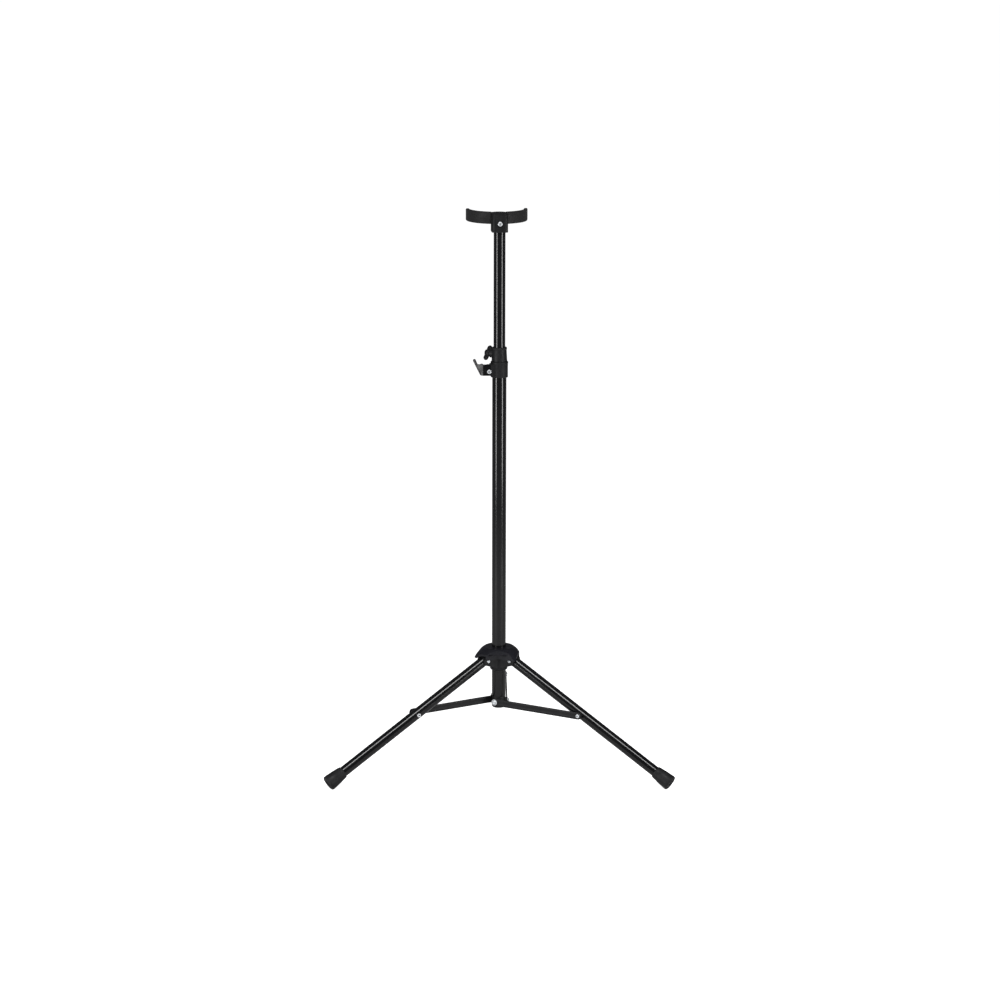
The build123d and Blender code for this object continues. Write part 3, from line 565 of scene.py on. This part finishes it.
def wing_knob(screw):
    """Moulded knob: a round hub that flows into two wings."""
    dip, span_r, lobe_r, middle = radians(-43.0), 15.5, 4.2, 22.4
    start, end, hub_r = 18.2, 27.4, 6.4
    wing_t, wing_edge, root_x = 5.2, 1.4, 2.0
    corners = [
        (0, start, 0),
        (hub_r - 0.5, start, 0.8),
        (hub_r, middle, 3.0),
        (hub_r - 1.2, end - 0.2, 1.8),
        (0, end, 0),
    ]
    parts = [lathe(rounded(corners, 4), 48)]
    for side in (-1, 1):
        tip = Vector((side * (span_r - lobe_r), middle))
        root = Vector((side * root_x, middle))
        along = (tip - root).normalized()
        across = Vector((-along.y, along.x))
        outline = []
        for centre, first, steps in ((tip, pi / 2, 12), (root, -pi / 2, 8)):
            for step in range(steps + 1):
                turn = first - pi * step / steps
                outline.append(centre + (along * cos(turn) + across * sin(turn)) * lobe_r)
        lobe = plate([[(p.x, p.y) for p in outline]], wing_t, wing_edge)
        lobe.transform(Matrix.Translation((0, 0, -wing_t / 2)))
        lobe.transform(Matrix.Rotation(dip, 4, "Z") @ Matrix.Rotation(pi / 2, 4, "X"))
        parts.append(lobe)
    mesh = joined(*parts)
    bmesh.ops.recalc_face_normals(mesh, faces=mesh.faces)
    data = mesh_data("knob", mesh)
    carrier = linked("knob", data)
    remesh = carrier.modifiers.new("remesh", "REMESH")
    remesh.mode = "VOXEL"
    remesh.voxel_size = 0.4
    smooth = carrier.modifiers.new("smooth", "SMOOTH")
    smooth.factor = 0.5
    smooth.iterations = 6
    result = evaluated(carrier)
    bpy.data.objects.remove(carrier)
    bpy.data.meshes.remove(data)
    whole = bmesh.new()
    whole.from_mesh(result)
    bpy.data.meshes.remove(result)
    piece("wing_knob_moulded", whole, screw, "wing_knob", smooth=60)


# ---------------------------------------------------------------- hook
HOOK_SCREW_X, HOOK_SCREW_Z, HOOK_FACE_Y = -17.8, 714.5, -13.6


def hook():
    dressed("hook_liner", 0)
    dressed("hook_collar", 0.45)
    dressed("hook_nut", 0.25)
    front = placed((HOOK_SCREW_X, HOOK_FACE_Y, HOOK_SCREW_Z), -Y, X)
    piece("hook_screw_socket", button_screw(4.1, 2.4, 17.2), front, "hook_screw")
    hook_plate()


def hook_plate():
    """Steel plate, bent back beyond the collar, with a finger that turns up at its end."""
    thickness, edge, bend_x, bend, bend_r, cuts = 2.5, 0.4, -27.5, radians(25.0), 2.6, 8
    start_x, bottom, top, finger_top = -14.6, 707.1, 727.0, 735.6
    corners = [
        (start_x, bottom, 0.6),
        (start_x, top, 0.6),
        (-28.4, top, 0.8),
        (-29.2, top + 1.2, 0.8),
        (-32.8, top + 1.2, 0.8),
        (-33.6, top, 0.8),
        (-39.4, top - 0.1, 1.4),
        (-43.5, finger_top, 2.0),
        (-48.0, finger_top, 2.0),
        (-46.9, 731.6, 8.0),
        (-34.2, 709.3, 12.0),
        (-32.6, bottom, 4.0),
    ]
    outline = [(x - HOOK_SCREW_X, z - HOOK_SCREW_Z) for x, z in rounded(corners, 6)]
    mesh = plate([outline, circle(2.5)], thickness, edge)
    bmesh.ops.translate(mesh, verts=mesh.verts, vec=(HOOK_SCREW_X, HOOK_SCREW_Z, -thickness))
    arc = bend_r * bend
    first = bend_x + bend_r * tan(bend / 2)
    for step in range(cuts + 1):
        cut = (first - arc * step / cuts, 0, 0)
        whole = mesh.verts[:] + mesh.edges[:] + mesh.faces[:]
        bmesh.ops.bisect_plane(mesh, geom=whole, plane_co=cut, plane_no=(1, 0, 0))
    for vertex in mesh.verts:
        beyond = first - vertex.co.x
        if beyond <= 0:
            continue
        turn = min(beyond, arc) / bend_r
        past = max(0.0, beyond - arc)
        middle_depth = -bend_r - thickness
        radius = vertex.co.z - middle_depth
        vertex.co.x = first - radius * sin(turn) - past * cos(turn)
        vertex.co.z = middle_depth + radius * cos(turn) - past * sin(turn)
    bent = piece("hook_plate_bent", mesh, placed((0, HOOK_FACE_Y, 0), -Y, X), "hook_plate", smooth=35)
    # The hook plate gets a darker copy of the tube paint, as painted shade.
    bent.data.materials[0] = plate_paint_shaded()


# ---------------------------------------------------------------- yoke
YOKE_TURN, YOKE_TILT = radians(4.0), radians(1.5)
yoke_right = Vector((cos(YOKE_TURN), sin(YOKE_TURN), 0))
yoke_back = Vector((-sin(YOKE_TURN), cos(YOKE_TURN), 0))
BAND_R, BAND_T, BAND_H, BAND_Z, BAND_Y = 54.5, 6.5, 21.4, 981.0, 67.5
BAND_HALF_ANGLE = radians(95.0)
T_WIDTH, T_FRONT, T_SCREW_Z, T_RECESS = 28.0, 14.6, 973.0, 2.0


def band_place():
    centre = yoke_back * BAND_Y + Z * (BAND_Z + (BAND_R - BAND_T / 2) * tan(YOKE_TILT))
    return placed(centre, Z * cos(YOKE_TILT) - yoke_back * sin(YOKE_TILT), yoke_right)


def sleeve(name, side, replaced):
    """Rubber sleeve on one arm of the yoke: a rounded flat section along the arc, with a rounded tip."""
    middle_r = BAND_R - BAND_T / 2
    start = asin((T_WIDTH / 2 - 0.3) / middle_r)
    tip_h, tip_t, corner, turns = 5.0, 2.4, 2.1, 7
    length = (BAND_HALF_ANGLE - start) * middle_r
    stations = [length * i / 60 for i in range(57)]
    stations = [s for s in stations if s < length - tip_h - 0.3]
    stations += [length - tip_h * (1 - sin(pi / 2 * i / 12)) for i in range(13)]
    mesh = bmesh.new()
    rings = []
    for station in stations:
        left = length - station
        inset_h = tip_h - sqrt(max(0.0, tip_h**2 - max(0.0, tip_h - left) ** 2))
        inset_t = tip_t - sqrt(max(0.0, tip_t**2 - max(0.0, tip_t - left) ** 2))
        half_h = BAND_H / 2 - inset_h
        half_t = max(0.25, BAND_T / 2 - inset_t)
        edge = min(corner, half_t - 0.05)
        corners = [(-half_t, -half_h), (half_t, -half_h), (half_t, half_h), (-half_t, half_h)]
        section = rounded([(t, h, edge) for t, h in corners], turns)
        angle = side * (start + station / middle_r) - pi / 2
        points = [((middle_r + t) * cos(angle), (middle_r + t) * sin(angle), h) for t, h in section]
        rings.append([mesh.verts.new(point) for point in points])
    for low, high in zip(rings, rings[1:]):
        for i in range(len(low)):
            after = (i + 1) % len(low)
            mesh.faces.new((low[i], low[after], high[after], high[i]))
    mesh.faces.new(rings[0])
    mesh.faces.new(rings[-1])
    piece(name, mesh, band_place(), replaced, smooth=50)


def yoke():
    dressed("t_piece", 0.55)
    dressed("yoke_core", 0)
    front = placed(-yoke_back * (T_FRONT - T_RECESS) + Z * T_SCREW_Z, -yoke_back, yoke_right)
    piece("t_screw_socket", button_screw(4.6, 2.0, 3.4, socket=1.2), front, "t_screw")
    sleeve("yoke_sleeve_left_rubber", -1, "yoke_sleeve_left")
    sleeve("yoke_sleeve_right_rubber", 1, "yoke_sleeve_right")
    dressed("yoke_rivets", 0.2)


# ---------------------------------------------------------------- hub
def hub():
    dressed("hub_body", 0.5)
    dressed("hub_cap", 0.7)
    dressed("hub_bush", 0)
    dressed("hub_set_screw", 0)
    heads = []
    cheek = 12.2
    for side in SIDES:
        hinge = joints[f"leg_{side}_hinge"]
        axis, pivot = Vector(hinge["axis"]), Vector(hinge["pos_m"]) / MM
        for facing in (axis, -axis):
            head = tubular_head(3.0, 1.8, 1.1, cheek)
            head.transform(placed(pivot + facing * cheek, facing, Z))
            heads.append(head)
    piece("hub_rivets_rolled", joined(*heads), in_place, "hub_rivets")


# ---------------------------------------------------------------- legs and braces
LEG_R, LEG_WALL, LEG_ANGLE = 9.3, 1.2, radians(29.5)
LEG_LENGTH, FOOT_LENGTH, TUBE_START, TUBE_IN_FOOT = 365.37, 34.0, 5.0, 29.0
EYE_R, COPE_GAP = 9.0, 0.02
BRACE_PIN_R, BRACE_INNER_FACE, BRACE_T, BRACE_W = 169.5, 13.6, 2.2, 12.8
BRACE_RIVET = (3.8, 2.0, 1.35)  # radius, height and bore of its rolled head
SCREW_HOLE_R = 2.55


def foot_mesh():
    """Rubber foot from its mouth at z = 0: barrelled sides, a lip at the mouth, grooves in its tread."""
    mouth, end, edge = 10.9, 13.8, 2.5
    socket_r, groove_depth, groove_edge = LEG_R + 0.05, 0.9, 0.3
    corners = [
        (socket_r, 0, 0.3),
        (mouth, 0, 0.7),
        (mouth + 0.35, 3.2, 6.0),
        (12.6, 14.0, 30.0),
        (end, 29.0, 8.0),
        (end, FOOT_LENGTH, edge),
    ]
    groove_floor = FOOT_LENGTH - groove_depth
    for outer, inner in ((9.6, 7.8), (5.6, 3.8)):
        corners += [
            (outer, FOOT_LENGTH, groove_edge),
            (outer - 0.3, groove_floor, groove_edge),
            (inner + 0.3, groove_floor, groove_edge),
            (inner, FOOT_LENGTH, groove_edge),
        ]
    inside = [(0, TUBE_IN_FOOT), (socket_r, TUBE_IN_FOOT)]
    return lathe([*inside, *rounded(corners, 4), (0, FOOT_LENGTH)], 96)


def leg_tube(side, along, end):
    """Tube of a leg, its upper end coped round the pivot eye."""
    bore = LEG_R - LEG_WALL
    corners = [(bore, 0, 0), (LEG_R, 0, 0), (LEG_R, end, TUBE_LIP), (bore, end, TUBE_LIP)]
    mesh = lathe(rounded(corners, 3), 96)
    for vertex in mesh.verts:
        if vertex.co.z < end / 2:
            across = min(EYE_R, abs(vertex.co.y))
            vertex.co.z = max(TUBE_START, sqrt(EYE_R**2 - across**2) + COPE_GAP)
    piece(f"leg_{side}_painted", mesh, along, f"leg_{side}")


def legs():
    for side in SIDES:
        hinge = joints[f"leg_{side}_hinge"]
        pivot = Vector(hinge["pos_m"]) / MM
        outward = Vector((pivot.x, pivot.y, 0)).normalized()
        clockwise = outward.cross(Z)
        down = outward * cos(LEG_ANGLE) - Z * sin(LEG_ANGLE)
        along = placed(pivot, down, clockwise)
        foot_start = LEG_LENGTH - FOOT_LENGTH
        leg_tube(side, along, foot_start + TUBE_IN_FOOT)
        dressed(f"leg_eye_{side}", 0.4)

        foot = foot_mesh()
        foot.transform(placed(pivot + down * foot_start, down, clockwise))
        for vertex in foot.verts:
            vertex.co.z = max(vertex.co.z, 0.0)
        piece(f"foot_{side}_rubber", foot, in_place, f"foot_{side}", smooth=35)

        brace_z = joints[f"brace_{side}_hinge"]["pos_m"][2] / MM
        pin = outward * BRACE_PIN_R + Z * brace_z
        head = tubular_head(*BRACE_RIVET, LEG_R + BRACE_INNER_FACE - 0.3)
        inner_side = placed(pin - clockwise * LEG_R, -clockwise, Z)
        piece(f"leg_rivet_{side}_rolled", head, inner_side, f"leg_rivet_{side}")
        dressed(f"brace_spacer_{side}", 0.3)

        middle = outward * BRACE_PIN_R / 2 + Z * brace_z + clockwise * BRACE_INNER_FACE
        flat = placed(middle, clockwise, outward)
        piece(f"brace_{side}_strap", strap_mesh(), flat, f"brace_{side}", smooth=30)
        head = tubular_head(*BRACE_RIVET, BRACE_T)
        outer_side = placed(pin + clockwise * (BRACE_INNER_FACE + BRACE_T), clockwise, Z)
        piece(f"brace_rivet_{side}_rolled", head, outer_side, f"brace_rivet_{side}")
    brace_screws()


def strap_mesh():
    """Flat brace with round ends and a hole in each, its middle at the origin."""
    half, end_r = BRACE_PIN_R / 2, BRACE_W / 2
    outline = []
    for end, first in ((1, -pi / 2), (-1, pi / 2)):
        for step in range(25):
            turn = first + pi * step / 24
            outline.append((end * half + end_r * cos(turn), end_r * sin(turn)))
    return plate([outline, circle(SCREW_HOLE_R, -half), circle(2.5, half)], BRACE_T, 0.45)


def brace_screws():
    """Shoulder screws in the bottom plug, one for each brace, on washers."""
    washer_face, washer_t, washer_r = BRACE_INNER_FACE + BRACE_T + 0.2, 0.8, 5.4
    screws, washers = [], []
    for side in SIDES:
        hinge = joints[f"brace_{side}_hinge"]
        clockwise, pin = Vector(hinge["axis"]), Vector(hinge["pos_m"]) / MM
        screw = button_screw(4.1, 2.4, washer_face + washer_t - 5.0)
        screw.transform(placed(pin + clockwise * (washer_face + washer_t), clockwise, Z))
        screws.append(screw)
        corners = [
            (SCREW_HOLE_R, 0, 0.1),
            (washer_r, 0, 0.2),
            (washer_r, washer_t, 0.25),
            (SCREW_HOLE_R, washer_t, 0.15),
        ]
        washer = lathe(rounded(corners, 2), 72)
        washer.transform(placed(pin + clockwise * washer_face, clockwise, Z))
        washers.append(washer)
    piece("brace_screws_socket", joined(*screws), in_place, "brace_screws")
    piece("brace_washers_turned", joined(*washers), in_place, "brace_washers")


column()
clamp()
hook()
yoke()
hub()
legs()


# ---------------------------------------------------------------- floor, light and camera
FLOOR_RADIUS, FLOOR_GLOW, CAMERA_GLOW = 90.0, 0.04, 0.91
CAMERA_ORBIT, CAMERA_PITCH, CAMERA_ROLL, CAMERA_SHIFT = -0.5, 12.225, 0.11, 0.0009
CAMERA_DISTANCE, CAMERA_HEIGHT, CAMERA_LENS = 4.4, 1.4347, 91.13
STRIP_X, STRIP_Y, STRIP_Z = 1.36, -1.06, 0.55


def paper():
    """White backdrop paper, burnt out for the camera and duller in what the tubes reflect."""
    paint = Paint("white_floor", (0.80, 0.80, 0.80), 0.8)
    paint.shader.inputs["Emission Color"].default_value = (1, 1, 1, 1)
    path = paint.tree.nodes.new("ShaderNodeLightPath")
    glow = paint.tree.nodes.new("ShaderNodeMath")
    glow.operation = "MULTIPLY_ADD"
    glow.inputs[1].default_value = CAMERA_GLOW
    glow.inputs[2].default_value = FLOOR_GLOW
    paint.link(path.outputs["Is Camera Ray"], glow, 0)
    paint.link(glow.outputs["Value"], paint.shader, "Emission Strength")
    return paint.material


def floor():
    mesh = bmesh.new()
    bmesh.ops.create_circle(mesh, cap_ends=True, segments=96, radius=FLOOR_RADIUS)
    data = mesh_data("floor", mesh)
    data.materials.append(paper())
    ground = linked("floor", data)
    ground.location.z = -0.0002


def softbox(name, place, target, size, watts):
    """Rectangular area light of this width and height, which faces the target."""
    data = bpy.data.lights.new(name, "AREA")
    data.shape = "RECTANGLE"
    data.size, data.size_y = size
    data.energy = watts
    lamp = linked(name, data)
    lamp.location = place
    lamp.rotation_euler = (Vector(target) - Vector(place)).to_track_quat("-Z", "Y").to_euler()


def world():
    """White for the camera, and a dim cool grey as light."""
    sky = bpy.data.worlds.new("studio")
    sky.use_nodes = True
    tree = sky.node_tree
    back = tree.nodes["Background"]
    back.inputs["Color"].default_value = (1, 1, 1, 1)
    dim = tree.nodes.new("ShaderNodeBackground")
    dim.inputs["Color"].default_value = (0.95, 0.97, 1.0, 1)
    dim.inputs["Strength"].default_value = 0.10
    mix = tree.nodes.new("ShaderNodeMixShader")
    path = tree.nodes.new("ShaderNodeLightPath")
    tree.links.new(path.outputs["Is Camera Ray"], mix.inputs["Fac"])
    tree.links.new(dim.outputs["Background"], mix.inputs[1])
    tree.links.new(back.outputs["Background"], mix.inputs[2])
    tree.links.new(mix.outputs["Shader"], tree.nodes["World Output"].inputs["Surface"])
    bpy.context.scene.world = sky


def camera():
    """A long lens far in front of the stand, a little above it."""
    data = bpy.data.cameras.new("camera")
    data.sensor_width = 36.0
    data.lens = CAMERA_LENS
    data.clip_end = 150.0
    data.shift_x = CAMERA_SHIFT
    eye = linked("camera", data)
    orbit = Matrix.Rotation(radians(CAMERA_ORBIT), 4, "Z")
    pitch = Matrix.Rotation(radians(90 - CAMERA_PITCH), 4, "X")
    roll = Matrix.Rotation(radians(CAMERA_ROLL), 4, "Z")
    eye.matrix_world = orbit @ Matrix.Translation((0, -CAMERA_DISTANCE, CAMERA_HEIGHT)) @ pitch @ roll
    bpy.context.scene.camera = eye


floor()
world()
for side in (-1, 1):
    softbox(f"strip_{side}", (side * STRIP_X, STRIP_Y, STRIP_Z), (0, 0, STRIP_Z), (0.34, 0.80), 14.0)
softbox("front_bank", (0, -1.38, 2.62), (0, 0, 0.2), (1.5, 0.48), 42.0)
camera()
bpy.context.scene.view_settings.view_transform = "Standard"
